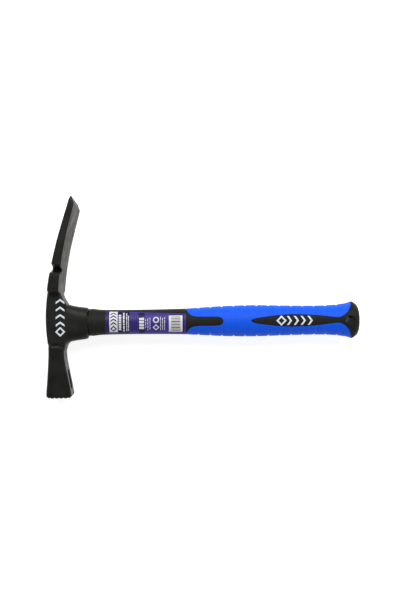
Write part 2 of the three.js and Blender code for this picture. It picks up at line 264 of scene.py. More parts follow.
class HandleSettings(bpy.types.PropertyGroup):
    plastic: colour("Black plastic", (0.0158, 0.0158, 0.0136), "Colour of the black moulding")
    resin: colour("Resin", (0.04, 0.019, 0.006), "Colour of the cast resin in the eye")
    glass_fibre: colour("Core", (0.5, 0.46, 0.3), "Colour of the fibreglass core")


class GripSettings(bpy.types.PropertyGroup):
    rubber: colour("Blue rubber", (0.008, 0.105, 0.84), "Colour of the soft sleeve")
    ring_pitch: length("Ring pitch", 11.26, "Distance between the ring grooves")
    ring_depth: length("Ring depth", 0.78, "Depth of a ring groove at its deepest")
    ring_count: bpy.props.IntProperty(
        name="Rings", description="Number of ring grooves", default=13, min=0)


class LabelSettings(bpy.types.PropertyGroup):
    film: colour("Film", (0.057, 0.038, 0.25), "Ground colour of the printed film")
    dark: colour("Dark band", (0.017, 0.011, 0.08), "Colour of the dark bands")
    white: colour("White", (0.74, 0.74, 0.75), "Colour of the white print")
    grey: colour("Grey", (0.17, 0.16, 0.13), "Colour of the bars on the last panel")
    mark: colour("Mark", (0.74, 0.79, 0.85), "Colour of the marks on the cheek and the palm inlays")


class StudioSettings(bpy.types.PropertyGroup):
    floor: colour("Floor", (0.6, 0.6, 0.6), "Colour of the floor")
    glow: share("Floor glow", 0.83, "Light that the floor itself gives, as a light table does")
    key: bpy.props.FloatProperty(
        name="Key light", description="Power of the large lamp on the blade's side", default=16.2,
        unit="POWER")
    fill: bpy.props.FloatProperty(
        name="Fill light", description="Power of the lamp on the poll's side", default=0.4, unit="POWER")
    walls: share("Walls", 0.55, "Brightness of the pale walls round the table")
    ceiling: share("Ceiling", 0.04, "Brightness of the dark ceiling over the table")


# ---------------------------------------------------------------- mesh helpers
def curve_points(stations, steps=14):
    """Points on a smooth curve through the stations."""
    knots = np.array(stations, float)
    padded = np.vstack([2 * knots[0] - knots[1], knots, 2 * knots[-1] - knots[-2]])
    points = []
    for before, start, end, after in zip(padded, padded[1:], padded[2:], padded[3:]):
        span = np.linalg.norm(end - start)
        into = (end - before) / max(np.linalg.norm(start - before) + span, 1e-9) * span
        out = (after - start) / max(np.linalg.norm(after - end) + span, 1e-9) * span
        for step in range(steps):
            t = step / steps
            points.append(
                (2 * t**3 - 3 * t**2 + 1) * start + (t**3 - 2 * t**2 + t) * into
                + (3 * t**2 - 2 * t**3) * end + (t**3 - t**2) * out)
    points.append(knots[-1])
    return np.array(points)


def along(curve):
    """A function that reads a curve's second coordinate at a value of its first."""
    order = np.argsort(curve[:, 0], kind="stable")
    return lambda x: np.interp(x, curve[order, 0], curve[order, 1])


shaft_radius = along(curve_points(SHAFT_LINE))
grip_radius = along(curve_points(GRIP_LINE))
tongue_curve = curve_points(TONGUE_EDGE)
inlay_curve = curve_points(INLAY_EDGE)
tongue_half = along(tongue_curve)
inlay_half = along(inlay_curve)


def handle_point(x, radius, angle):
    """A point on the handle: angle 0 is on the upper side, a quarter turn is towards the blade."""
    return np.stack([
        np.broadcast_to(x, np.shape(angle)),
        radius * np.sin(angle),
        FLATNESS * radius * np.cos(angle),
    ], axis=-1)


def link_mesh(name, mesh):
    """Puts a mesh into the scene as an object."""
    piece = bpy.data.objects.new(name, mesh)
    bpy.context.scene.collection.objects.link(piece)
    return piece


def mesh_from(name, points, faces):
    """A mesh in metres from points in the hammer's millimetres, welded and facing out."""
    mesh = bpy.data.meshes.new(name)
    mesh.from_pydata((np.asarray(points, float) * MM + np.array(ORIGIN)).tolist(), [], faces)
    build = bmesh.new()
    build.from_mesh(mesh)
    bmesh.ops.remove_doubles(build, verts=build.verts, dist=0.004 * MM)
    bmesh.ops.dissolve_degenerate(build, edges=build.edges, dist=0.002 * MM)
    bmesh.ops.recalc_face_normals(build, faces=build.faces)
    build.to_mesh(mesh)
    build.free()
    return mesh


def finish_piece(piece, material, smooth_angle=40):
    """Gives a piece its finish and fixes it to the hammer."""
    piece.data.materials.clear()
    piece.data.materials.append(material)
    piece.data.shade_smooth()
    piece.data.set_sharp_from_angle(angle=math.radians(smooth_angle))
    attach(piece, "root")


def sheet_faces(rows, columns, first=0):
    """Quads of a grid whose points are stored row by row."""
    return [
        (first + r * columns + c, first + r * columns + c + 1,
         first + (r + 1) * columns + c + 1, first + (r + 1) * columns + c)
        for r in range(rows - 1) for c in range(columns - 1)
    ]


def revolve(name, profile, columns=96):
    """A closed body turned about the handle's axis from [x, radius] points."""
    angles = np.linspace(0, 2 * math.pi, columns + 1)
    points = np.concatenate([handle_point(x, radius, angles) for x, radius in profile])
    return mesh_from(name, points, sheet_faces(len(profile), columns + 1))


def evaluated(piece, name):
    """The piece's mesh with its modifiers applied; the piece itself is removed."""
    bpy.context.view_layer.update()
    mesh = bpy.data.meshes.new_from_object(
        piece.evaluated_get(bpy.context.evaluated_depsgraph_get()))
    source = piece.data
    bpy.data.objects.remove(piece)
    bpy.data.meshes.remove(source)
    mesh.name = name
    return mesh


def combine(base, others, operation):
    """Joins to or cuts from the base mesh each of the other meshes."""
    piece = link_mesh("work", base)
    tools = [link_mesh("tool", other) for other in others]
    for tool in tools:
        modifier = piece.modifiers.new("boolean", "BOOLEAN")
        modifier.operation = operation
        modifier.solver = "EXACT"
        modifier.object = tool
    mesh = evaluated(piece, base.name)
    for tool in tools:
        bpy.data.meshes.remove(tool.data)
    return mesh


def prism(name, outline, low, high, axis):
    """An outline pushed from low to high: along z it is drawn in (x, y), along x in (z, y)."""
    flat = np.array(outline, float)
    count = len(flat)
    rings = []
    for level in (low, high):
        column = np.full((count, 1), level)
        rings.append(np.hstack([flat, column]) if axis == "z"
                     else np.hstack([column, flat[:, 1:], flat[:, :1]]))
    sides = [(k, (k + 1) % count, count + (k + 1) % count, count + k) for k in range(count)]
    caps = [tuple(range(count)), tuple(range(2 * count - 1, count - 1, -1))]
    return mesh_from(name, np.vstack(rings), sides + caps)


def loft(name, rings):
    """A closed body through rings of the same number of points, with flat ends."""
    count = len(rings[0])
    points = np.vstack(rings)
    faces = [
        (r * count + k, r * count + (k + 1) % count,
         (r + 1) * count + (k + 1) % count, (r + 1) * count + k)
        for r in range(len(rings) - 1) for k in range(count)
    ]
    last = (len(rings) - 1) * count
    faces += [tuple(range(count)), tuple(range(last + count - 1, last - 1, -1))]
    return mesh_from(name, points, faces)


# ---------------------------------------------------------------- material helpers
class Nodes:
    """A node tree under construction, with short calls for the nodes that the finishes share."""

    def __init__(self, name):
        self.material = bpy.data.materials.new(name)
        self.material.use_nodes = True
        self.tree = self.material.node_tree
        self.shader = self.tree.nodes["Principled BSDF"]
        coordinates = self.add("ShaderNodeTexCoord")
        self.place = coordinates.outputs["Object"]
        self.normal = coordinates.outputs["Normal"]

    def add(self, kind, **values):
        """A new node with its options and inputs set by name."""
        node = self.tree.nodes.new(kind)
        for key, value in values.items():
            if hasattr(node, key):
                setattr(node, key, value)
            else:
                node.inputs[key.replace("_", " ")].default_value = value
        return node

    def link(self, source, target):
        self.tree.links.new(source, target)

    def stretched(self, scale):
        """Object coordinates scaled differently along each axis."""
        mapping = self.add("ShaderNodeMapping", Scale=scale)
        self.link(self.place, mapping.inputs["Vector"])
        return mapping.outputs["Vector"]

    def noise(self, scale, detail=3.0, roughness=0.5, vector=None):
        """Noise in the piece's own space; a higher scale makes it finer."""
        node = self.add("ShaderNodeTexNoise", Scale=scale, Detail=detail, Roughness=roughness)
        self.link(vector or self.place, node.inputs["Vector"])
        return node.outputs["Fac"]

    def ramp(self, factor, low, high, first, second):
        """Maps a factor between low and high to a value between first and second."""
        node = self.add("ShaderNodeMapRange", From_Min=low, From_Max=high, To_Min=first, To_Max=second)
        self.link(factor, node.inputs["Value"])
        return node.outputs["Result"]

    def blend(self, factor, first, second):
        """Mixes two colours by a factor."""
        node = self.add("ShaderNodeMix", data_type="RGBA")
        self.link(factor, node.inputs["Factor"])
        node.inputs[6].default_value = (*first, 1)
        node.inputs[7].default_value = (*second, 1)
        return node.outputs[2]

    def mix(self, factor, first, second):
        """Mixes a colour socket with a plain colour by a factor."""
        node = self.add("ShaderNodeMix", data_type="RGBA")
        self.link(factor, node.inputs["Factor"])
        self.link(first, node.inputs[6])
        node.inputs[7].default_value = (*second, 1)
        return node.outputs[2]

    def times(self, first, *others):
        """The product of several factors."""
        for other in others:
            node = self.add("ShaderNodeMath", operation="MULTIPLY")
            self.link(first, node.inputs[0])
            self.link(other, node.inputs[1])
            first = node.outputs[0]
        return first

    def plus(self, first, second):
        """The sum of two factors."""
        node = self.add("ShaderNodeMath", operation="ADD")
        self.link(first, node.inputs[0])
        self.link(second, node.inputs[1])
        return node.outputs[0]

    def axis(self, source, name):
        node = self.add("ShaderNodeSeparateXYZ")
        self.link(source, node.inputs["Vector"])
        return node.outputs[name]

    def part(self, name):
        """How far along one axis a point lies, in metres."""
        return self.axis(self.place, name)

    def facing(self, name):
        """How squarely the surface faces along one axis."""
        return self.axis(self.normal, name)

    def bumps(self, *layers):
        """Stacks bumps, each given as (height, strength, distance in metres)."""
        normal = None
        for height, strength, distance in layers:
            node = self.add("ShaderNodeBump", Strength=strength, Distance=distance)
            self.link(height, node.inputs["Height"])
            if normal:
                self.link(normal, node.inputs["Normal"])
            normal = node.outputs["Normal"]
        self.link(normal, self.shader.inputs["Normal"])

    def set(self, **values):
        """Sets or links the shader's inputs by name."""
        for key, value in values.items():
            socket = self.shader.inputs[key.replace("_", " ")]
            if isinstance(value, bpy.types.NodeSocket):
                self.link(value, socket)
            else:
                socket.default_value = value


def tinted(base, factor):
    """A lighter or darker version of a colour."""
    return tuple(min(1, channel * factor) for channel in base)


def lacquer(settings):
    """Black lacquer over a forging: satin and pebbly, thin and streaked inside the blade, with sharp edges
    painted lighter, partly as rubbed lacquer and partly as a painted highlight.
    """
    nodes = Nodes("black_lacquer")
    base = tuple(settings.paint)
    patches = nodes.noise(60, detail=4)
    coat = nodes.blend(nodes.ramp(patches, 0.35, 0.65, 0, 1), tinted(base, 0.8), tinted(base, 1.4))
    streaks = nodes.noise(1, detail=5, roughness=0.65, vector=nodes.stretched((260, 34, 210)))
    thin = nodes.times(
        nodes.ramp(streaks, 0.42, 0.62, 0.1, 1),
        nodes.ramp(nodes.facing("X"), 0.75, 0.95, 0, 1),
        nodes.ramp(nodes.part("Y"), ORIGIN.y + 0.022, ORIGIN.y + 0.04, 0, 1))
    coat = nodes.mix(nodes.times(thin, nodes.ramp(patches, 0.3, 0.7, 0.35, 1)), coat, settings.streak)
    # Sharp edges found by pointiness get a lighter colour: partly rubbed lacquer, partly a painted highlight
    # that stands in for gloss along the edges.
    edges = nodes.ramp(nodes.add("ShaderNodeNewGeometry").outputs["Pointiness"], 0.57, 0.67, 0, 1)
    edge_wear_and_highlight = nodes.times(edges, nodes.ramp(nodes.noise(110, detail=3), 0.35, 0.65, 0.3, 1))
    rough = nodes.ramp(
        nodes.noise(140, detail=5), 0.3, 0.7, settings.roughness - 0.07, settings.roughness + 0.08)
    rough = nodes.plus(rough, nodes.ramp(thin, 0, 1, 0, 0.25))
    nodes.set(Base_Color=nodes.mix(edge_wear_and_highlight, coat, settings.edge_wear_and_highlight), Roughness=rough, Specular_IOR_Level=0.14)
    nodes.bumps(
        (nodes.noise(45, detail=2), 0.3, 0.0007), (nodes.noise(1300, detail=3), 0.3, 0.00012),
        (streaks, 0.25, 0.0002))
    return nodes.material


def black_plastic(settings):
    """Satin black plastic with a fine moulded grain."""
    nodes = Nodes("black_plastic")
    base = tuple(settings.plastic)
    nodes.set(
        Base_Color=nodes.blend(nodes.noise(90, detail=3), tinted(base, 0.85), tinted(base, 1.25)),
        Roughness=nodes.ramp(nodes.noise(260, detail=4), 0.3, 0.7, 0.46, 0.6),
        Specular_IOR_Level=0.09)
    nodes.bumps((nodes.noise(180, detail=3), 0.2, 0.0002), (nodes.noise(1900, detail=2), 0.45, 0.00009))
    return nodes.material


def blue_rubber(settings):
    """Soft blue rubber with a fine moulded grain."""
    nodes = Nodes("blue_rubber")
    base = tuple(settings.rubber)
    nodes.set(
        Base_Color=nodes.blend(nodes.noise(70, detail=3), tinted(base, 0.93), tinted(base, 1.06)),
        Roughness=nodes.ramp(nodes.noise(300, detail=4), 0.3, 0.7, 0.42, 0.54),
        Specular_IOR_Level=0.12)
    nodes.bumps((nodes.noise(160, detail=3), 0.2, 0.0002), (nodes.noise(1700, detail=2), 0.45, 0.00009))
    return nodes.material


def cast_resin(settings):
    """Dark brown cast resin, slightly cloudy."""
    nodes = Nodes("cast_resin")
    base = tuple(settings.resin)
    nodes.set(
        Base_Color=nodes.blend(nodes.noise(220, detail=4), tinted(base, 0.6), tinted(base, 1.6)),
        Roughness=0.3, Specular_IOR_Level=0.35)
    nodes.bumps((nodes.noise(300, detail=3), 0.15, 0.0003))
    return nodes.material


def glass_fibre(settings):
    """Pultruded rod with strands that run along it."""
    nodes = Nodes("glass_fibre")
    base = tuple(settings.glass_fibre)
    strands = nodes.noise(1, detail=4, vector=nodes.stretched((40, 2600, 2600)))
    nodes.set(
        Base_Color=nodes.blend(nodes.ramp(strands, 0.35, 0.65, 0, 1), tinted(base, 0.75), tinted(base, 1.15)),
        Roughness=nodes.ramp(strands, 0.3, 0.7, 0.35, 0.55))
    nodes.bumps((strands, 0.3, 0.0001))
    return nodes.material


def print_ink(name, base, roughness, specular):
    """Ink or film of one colour, with a slightly uneven coat."""
    nodes = Nodes(name)
    nodes.set(
        Base_Color=nodes.blend(nodes.noise(500, detail=3), tinted(base, 0.9), tinted(base, 1.06)),
        Roughness=nodes.ramp(nodes.noise(400, detail=3), 0.3, 0.7, roughness - 0.05, roughness + 0.06),
        Specular_IOR_Level=specular)
    nodes.bumps((nodes.noise(1200, detail=2), 0.08, 0.00004))
    return nodes.material


# ---------------------------------------------------------------- head
def blade_body():
    """The adze blade, through pairs of outer and inner points from the eye to the cutting edge."""
    outer = curve_points(((2.9, 22), (2.9, 29), (5.5, 46), (9.9, 66), (13.5, 80), (23.8, 114.4)), 8)
    inner = curve_points(((13.2, 22), (13.4, 29), (14.9, 46), (17.9, 66), (20.6, 79), (28.3, 110.5)), 8)
    half_at = along(np.array((
        (27, EYE_HALF - 0.4), (29.5, BLADE_ROOT_HALF - 0.4), (31, BLADE_ROOT_HALF), (EDGE_Y, BLADE_HALF))))
    rings = []
    for (outer_x, outer_y), (inner_x, inner_y) in zip(outer, inner):
        half = float(half_at(outer_y))
        rings.append([(outer_x, outer_y, -half), (inner_x, inner_y, -half),
                      (inner_x, inner_y, half), (outer_x, outer_y, half)])
    edge = BLADE_HALF - EDGE_CORNER
    rings.append([(x, EDGE_Y, z) for x, z in ((25.5, -edge), (25.9, -edge), (25.9, edge), (25.5, edge))])
    return loft("blade", rings)


def chamfered(low_x, high_x, y, half, outer_cut, inner_cut, slope):
    """An eight-sided section across the head at height y; slope is the outer cuts' rise over their run."""
    return [
        (low_x, y, -half + outer_cut * slope), (low_x + outer_cut, y, -half), (high_x - inner_cut, y, -half),
        (high_x, y, -half + inner_cut), (high_x, y, half - inner_cut), (high_x - inner_cut, y, half),
        (low_x + outer_cut, y, half), (low_x, y, half - outer_cut * slope),
    ]


def eye_body():
    """The eye block: bulged outside, and sloped inside where the blade runs down into the socket."""
    inner = along(curve_points(((EYE_BOTTOM, 17.6), (-18, 18.9), (-15, 19.5), (14, 19.5), (17, 19.3),
                                (19, 18.2), (21.2, 16.7), (23.5, 15.5), (26, 14.5), (EYE_TOP, 13.7))))
    heights = [EYE_BOTTOM, -19.6, *np.linspace(-18.9, 17, 15), *np.linspace(17.5, EYE_TOP, 16)]
    rings = []
    for y in heights:
        outer = EYE_BULGE * ((y - EYE_MIDDLE) / EYE_REACH) ** 2
        half = EYE_HALF - max(0, CHEEK_BOTTOM - y) * CHEEK_SLOPE
        rings.append(chamfered(outer, float(inner(y)), y, half, 3.0, 1.7, 0.55))
    return loft("eye", rings)


def poll_body():
    """The poll: waisted below the eye and flared to the striking face, with cut corners."""
    outer = along(curve_points(((FACE_Y, 1.9), (-68.4, 0.1), (-56, 0.85), (-42, 1.7), (-29, 2.1),
                                (POLL_TOP, 2.0))))
    inner = along(curve_points(((FACE_Y, 21.7), (-68.6, 23.4), (-60, 22.1), (-45.4, 19.2), (-36, 17.4),
                                (-28, 16.7), (-21, 17.2), (POLL_TOP, 18))))
    heights = [FACE_Y, -68.5, -66, *np.linspace(-62, -26, 19), *np.linspace(-25, POLL_TOP, 23)]
    rings = []
    for y in heights:
        rim = 1.5 if y == FACE_Y else 0
        waist = 0.5 * math.exp(-((y + 30) / 12) ** 2)
        crease = 0.7 * math.exp(-((y + 21) / 1.8) ** 2)
        half = POLL_HALF - rim - waist - crease
        rings.append(chamfered(float(outer(y)), float(inner(y)), y, half, 2.0, 1.2, 0.8))
    return loft("poll", rings)


def poll_recess():
    """The long shallow recess in the poll's inner side, as a cutter."""
    half_turn = np.linspace(0, math.pi, 13)
    outline = [
        (RECESS_RADIUS * math.cos(start + turn), centre + RECESS_RADIUS * math.sin(start + turn))
        for centre, start in ((RECESS_SPAN, 0), (-RECESS_SPAN, math.pi)) for turn in half_turn]
    mesh = prism("recess", outline, 0, 8, "x")
    lean = Matrix.Rotation(math.radians(RECESS_LEAN), 4, "Z")
    seat = Vector((RECESS_SEAT, -RECESS_MIDDLE, 0)) * MM + ORIGIN
    mesh.transform(Matrix.Translation(seat) @ lean @ Matrix.Translation(-ORIGIN))
    return mesh


def socket_body():
    """The socket that carries the handle, spreading smoothly into the eye, blade and poll."""
    root = 12
    top = along(curve_points((
        (root, 28.5), (13.4, 28), (14.6, 24.4), (16.2, 21), (18.4, 18.3), (21.5, 16.8), (27, 15.5),
        (33, 14.7), (37.4, 14.15), (38.2, 13.8), (SOCKET_END, 13.2))))
    bottom = along(curve_points((
        (root, -28.5), (16.6, -27.6), (17.8, -24.4), (19.2, -20.6), (21.6, -18.4), (25, -17.4),
        (31, -16.5), (36, -15.9), (37.6, -15.4), (38.2, -15), (SOCKET_END, -14.4))))
    thickness = along(curve_points((
        (root, 12.8), (16, 12.8), (22, 12.6), (30, 12.0), (37, 11.7), (38.1, 11.4), (SOCKET_END, 10.8))))
    squareness = along(np.array(((root, 4.5), (16, 4.5), (22, 4.2), (30, 3.3), (SOCKET_END, 2.7))))
    angles = np.linspace(0, 2 * math.pi, 72, endpoint=False)
    rings = []
    for x in [*np.linspace(root + 0.5, 24, 24), *np.linspace(25, 37, 9), 37.7, 38.2, SOCKET_END]:
        power = 2 / squareness(x)
        high, low = float(top(x)), float(bottom(x))
        rise, side = (np.sign(part) * np.abs(part) ** power for part in (np.sin(angles), np.cos(angles)))
        y = (high + low) / 2 + (high - low) / 2 * rise
        rings.append(np.stack([np.full_like(y, x), y, thickness(x) * side], axis=-1))
    return loft("socket", rings)


def eye_hole():
    """The oval hole through the eye and socket, flared a little at the outer face, as a cutter."""
    before, after = -4, SOCKET_END + 5.5
    return revolve("eye_hole", [
        (before, 0), (before, EYE_RADIUS + EYE_FLARE), (1.2, EYE_RADIUS + EYE_FLARE / 4), (4, EYE_RADIUS),
        (SPIGOT_START, EYE_RADIUS), (SPIGOT_START, SPIGOT_RADIUS), (after, SPIGOT_RADIUS), (after, 0)],
        columns=72)


def nail_notch(depth):
    """A tapered slot with a round bottom, square through the leaning blade, as a cutter."""
    bottom = BLADE_ROOT_HALF - depth
    mouth = BLADE_HALF + 4
    arc = [(bottom + NOTCH_THROAT - NOTCH_THROAT * math.cos(turn), NOTCH_THROAT * math.sin(turn))
           for turn in np.linspace(-math.pi / 2, math.pi / 2, 13)]
    mesh = prism("notch", [(mouth, -NOTCH_MOUTH), *arc, (mouth, NOTCH_MOUTH)], -REACH / 2, REACH / 2, "x")
    seat = Vector((10, NOTCH_Y, 0)) * MM + ORIGIN
    lean = Matrix.Rotation(math.radians(-NOTCH_LEAN), 4, "Z")
    mesh.transform(Matrix.Translation(seat) @ lean @ Matrix.Translation(-ORIGIN))
    return mesh


def face_grooves(pitch):
    """The crossed grooves that leave teeth on the striking face, as cutters."""
    depth = 0.9
    vee = [(-1.25, FACE_Y - depth), (1.25, FACE_Y - depth), (0.25, FACE_Y + depth), (-0.25, FACE_Y + depth)]
    tools = []
    for row in TOOTH_ROWS:
        across = [(FACE_MIDDLE + row * pitch + x, y) for x, y in vee]
        level = [(row * pitch + z, y) for z, y in vee]
        tools.append(prism("groove", across, -REACH, REACH, "z"))
        tools.append(prism("groove", level, -REACH, REACH, "x"))
    return tools


def forged_head(settings):
    """The head as one forging: its bodies joined, cut, resolved into fine cells and smoothed."""
    solid = combine(blade_body(), [eye_body(), poll_body(), socket_body()], "UNION")
    cuts = [eye_hole(), nail_notch(settings.notch_depth / MM), poll_recess(),
            *face_grooves(settings.tooth_pitch / MM)]
    solid = combine(solid, cuts, "DIFFERENCE")
    piece = link_mesh("forged_head", solid)
    remesh = piece.modifiers.new("cells", "REMESH")
    remesh.mode = "VOXEL"
    remesh.voxel_size = settings.grain
    soften = piece.modifiers.new("soften", "SMOOTH")
    soften.factor = 0.5
    soften.iterations = 6
    thin_out = piece.modifiers.new("thin_out", "DECIMATE")
    thin_out.ratio = 0.45
    return evaluated(piece, "forged_head")


class HAMMER_OT_head(bpy.types.Operator):
    """Makes the forged head with its blade, eye, socket and chequered poll"""
    bl_idname = "hammer.head"
    bl_label = "Forged head"

    def execute(self, context):
        settings = context.scene.hammer_head
        piece = link_mesh("forged_head", forged_head(settings))
        finish_piece(piece, lacquer(settings), smooth_angle=60)
        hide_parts("hammer_head")
        return {"FINISHED"}


# ---------------------------------------------------------------- inside the eye
class HAMMER_OT_core(bpy.types.Operator):
    """Gives the fibreglass core its finish and casts the resin that shows in the eye"""
    bl_idname = "hammer.core"
    bl_label = "Core and resin"

    def execute(self, context):
        settings = context.scene.hammer_handle
        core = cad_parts["core_rod"]
        core.data.materials.clear()
        core.data.materials.append(glass_fibre(settings))
        outer = EYE_RADIUS - GAP
        over_core = CORE_START - 0.2
        surface = [(RESIN_SINK - RESIN_CLIMB * (radius / outer) ** 4, radius)
                   for radius in np.linspace(0, outer, 16)]
        profile = [*surface, (RESIN_END, outer), (RESIN_END, CORE_BORE), (over_core, CORE_BORE),
                   (over_core, 0)]
        resin = link_mesh("eye_resin_cast", revolve("eye_resin_cast", profile))
        finish_piece(resin, cast_resin(settings))
        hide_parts("eye_resin")
        return {"FINISHED"}


# ---------------------------------------------------------------- handle
def side_distance(points, curve):
    """Distance in side view from each point to a curve mirrored about the handle's axis."""
    flat = np.stack([points[:, 0], np.abs(points[:, 1])], axis=-1)
    nearest = np.full(len(flat), 1e9)
    for start in range(0, len(curve), 64):
        gaps = flat[:, None, :] - curve[None, start:start + 64, :]
        nearest = np.minimum(nearest, np.sqrt((gaps ** 2).sum(-1)).min(1))
    return nearest


def eased(points, curves):
    """Rounds the surface in towards the axis where it nears a parting line."""
    nearest = np.min([side_distance(points, curve) for curve in curves], axis=0)
    inset = np.clip(EDGE_ROUND - nearest, 0, EDGE_ROUND)
    drop = EDGE_ROUND - np.sqrt(EDGE_ROUND ** 2 - inset ** 2)
    reach = np.hypot(points[:, 1], points[:, 2] / FLATNESS)
    scale = 1 - drop / np.maximum(reach, 1)
    return points * np.stack([np.ones_like(scale), scale, scale], axis=-1)


def shell_part(outer, inner, is_open, curves):
    """Points and faces of a wall between an outer and an inner grid of the same size.

    Where is_open holds for a row, the grids' first and last columns are free edges and get joined.
    """
    rows, columns = outer.shape[:2]
    first = rows * columns
    points = np.vstack([eased(outer.reshape(-1, 3), curves), inner.reshape(-1, 3)])
    faces = sheet_faces(rows, columns) + sheet_faces(rows, columns, first)
    for row in range(rows - 1):
        if not (is_open[row] or is_open[row + 1]):
            continue
        for column in (0, columns - 1):
            here, there = row * columns + column, (row + 1) * columns + column
            faces.append((here, there, first + there, first + here))
    return points, faces


def ring_part(profile, angles, curves=()):
    """Points and faces of a strip turned about the axis through the given angles."""
    points = np.concatenate([handle_point(x, radius, angles) for x, radius in profile])
    if curves:
        points = eased(points, curves)
    return points, sheet_faces(len(profile), len(angles))


def join_parts(name, parts):
    """One mesh from several (points, faces) parts, welded where they meet."""
    points, faces, start = [], [], 0
    for part_points, part_faces in parts:
        points.append(part_points)
        faces += [tuple(start + k for k in face) for face in part_faces]
        start += len(part_points)
    return mesh_from(name, np.vstack(points), faces)


def dense_rows(low, high, step, *clusters):
    """Stations from low to high, crowded towards each of the given places."""
    rows = set(np.round(np.arange(low, high, step), 3)) | {low, high}
    for centre, reach in clusters:
        near = centre + reach * np.sin(np.linspace(-math.pi / 2, math.pi / 2, 13)) ** 3
        rows |= {float(np.round(x, 3)) for x in near if low < x < high}
    return np.array(sorted(rows))


def black_side(xs, radii, halves, inner_radius, centre):
    """Outer and inner grids of the black area round one side of the handle."""
    reach = np.arcsin(np.clip(halves / radii, 0, 1))
    outer = [handle_point(x, r, centre + a * COLUMNS) for x, r, a in zip(xs, radii, reach)]
    inner = [handle_point(x, inner_radius, centre + a * COLUMNS) for x, a in zip(xs, reach)]
    return np.stack(outer), np.stack(inner)


def shaft_mesh():
    """The shaft with its collar, and the tongues that run back into the grip."""
    bare = dense_rows(45.5, GRIP_START, 2.5, (GRIP_START, 3))
    line = [*COLLAR_LINE, *zip(bare, shaft_radius(bare))]
    bore = [(x, CORE_BORE) for x, _ in reversed(line)]
    tail = dense_rows(GRIP_START, TONGUE_TIP, 1.2, (TONGUE_TIP, 3.5), (GRIP_START, 6))
    parts = []
    for centre in SIDES:
        angles = centre + math.pi / 2 * COLUMNS
        outer, inner = black_side(tail, grip_radius(tail), tongue_half(tail), UNDER_GRIP_RADIUS, centre)
        parts += [
            ring_part(line, angles, [tongue_curve]),
            ring_part([(GRIP_START, UNDER_GRIP_RADIUS), *bore, line[0]], angles),
            shell_part(outer, inner, tail < TONGUE_TIP, [tongue_curve]),
        ]
    return join_parts("jacket_shaft", parts)


def palm_mesh():
    """The palm inlays and the end cap, with the hanging hole cut through."""
    rows = dense_rows(INLAY_TIP, GRIP_END, 1.5, (INLAY_TIP, 3.5), (GRIP_END, 8))
    dome = [(GRIP_END, float(grip_radius(GRIP_END))), *curve_points(END_LINE, 6)[1:]]
    hollow = [(GRIP_END, UNDER_GRIP_RADIUS), (CAP_FLOOR, UNDER_GRIP_RADIUS), (CAP_FLOOR, 0)]
    parts = []
    for centre in SIDES:
        angles = centre + math.pi / 2 * COLUMNS
        outer, inner = black_side(rows, grip_radius(rows), inlay_half(rows), UNDER_GRIP_RADIUS, centre)
        parts += [
            shell_part(outer, inner, rows < GRIP_END, [inlay_curve]),
            ring_part(dome, angles, [inlay_curve]),
            ring_part(hollow, angles),
        ]
    return combine(join_parts("jacket_palm", parts), [hang_hole()], "DIFFERENCE")


def under_grip_mesh():
    """The black tube under the sleeve, from the shaft into the end cap."""
    start, end, radius = GRIP_START + GAP, CAP_FLOOR - GAP, UNDER_GRIP_RADIUS - 0.03
    past_core = CORE_END + 0.3
    tube = revolve("jacket_under_grip", [
        (start, CORE_BORE), (start, radius), (end, radius), (end, 0), (past_core, 0),
        (past_core, CORE_BORE), (start, CORE_BORE)])
    return combine(tube, [hang_hole()], "DIFFERENCE")


def hang_hole():
    """A round cutter through the end cap, widened where it leaves the surface."""
    profile = []
    for turn in np.linspace(0, math.pi / 2, 7):
        profile.append((HANG_HOLE_DEPTH + HANG_HOLE_RIM * math.sin(turn),
                        HANG_HOLE_RADIUS + HANG_HOLE_RIM * (1 - math.cos(turn))))
    outside = CAP_RADIUS * FLATNESS + 1.3
    profile.append((outside, HANG_HOLE_RADIUS + HANG_HOLE_RIM + 1.5))
    profile.append((outside, 0))
    profile = [(-z, radius) for z, radius in reversed(profile)] + profile
    angles = np.linspace(0, 2 * math.pi, 49)
    across, level = np.cos(angles), np.sin(angles)
    points = np.concatenate([
        np.stack([HANG_HOLE_X + radius * across, radius * level, np.full_like(angles, z)], axis=-1)
        for z, radius in profile])
    return mesh_from("hang_hole", points, sheet_faces(len(profile), len(angles)))


class HAMMER_OT_jacket(bpy.types.Operator):
    """Makes the black moulding: shaft, tongues, palm inlays and end cap with its hanging hole"""
    bl_idname = "hammer.jacket"
    bl_label = "Black jacket"

    def execute(self, context):
        plastic = black_plastic(context.scene.hammer_handle)
        pieces = [link_mesh(mesh.name, mesh) for mesh in (shaft_mesh(), palm_mesh(), under_grip_mesh())]
        for piece in pieces:
            finish_piece(piece, plastic, smooth_angle=50)
        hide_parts("handle_jacket")
        return {"FINISHED"}


# ---------------------------------------------------------------- soft sleeve
def ring_centres(settings):
    """Where the ring grooves lie along the handle, in millimetres."""
    return FIRST_RING + settings.ring_pitch / MM * np.arange(settings.ring_count)


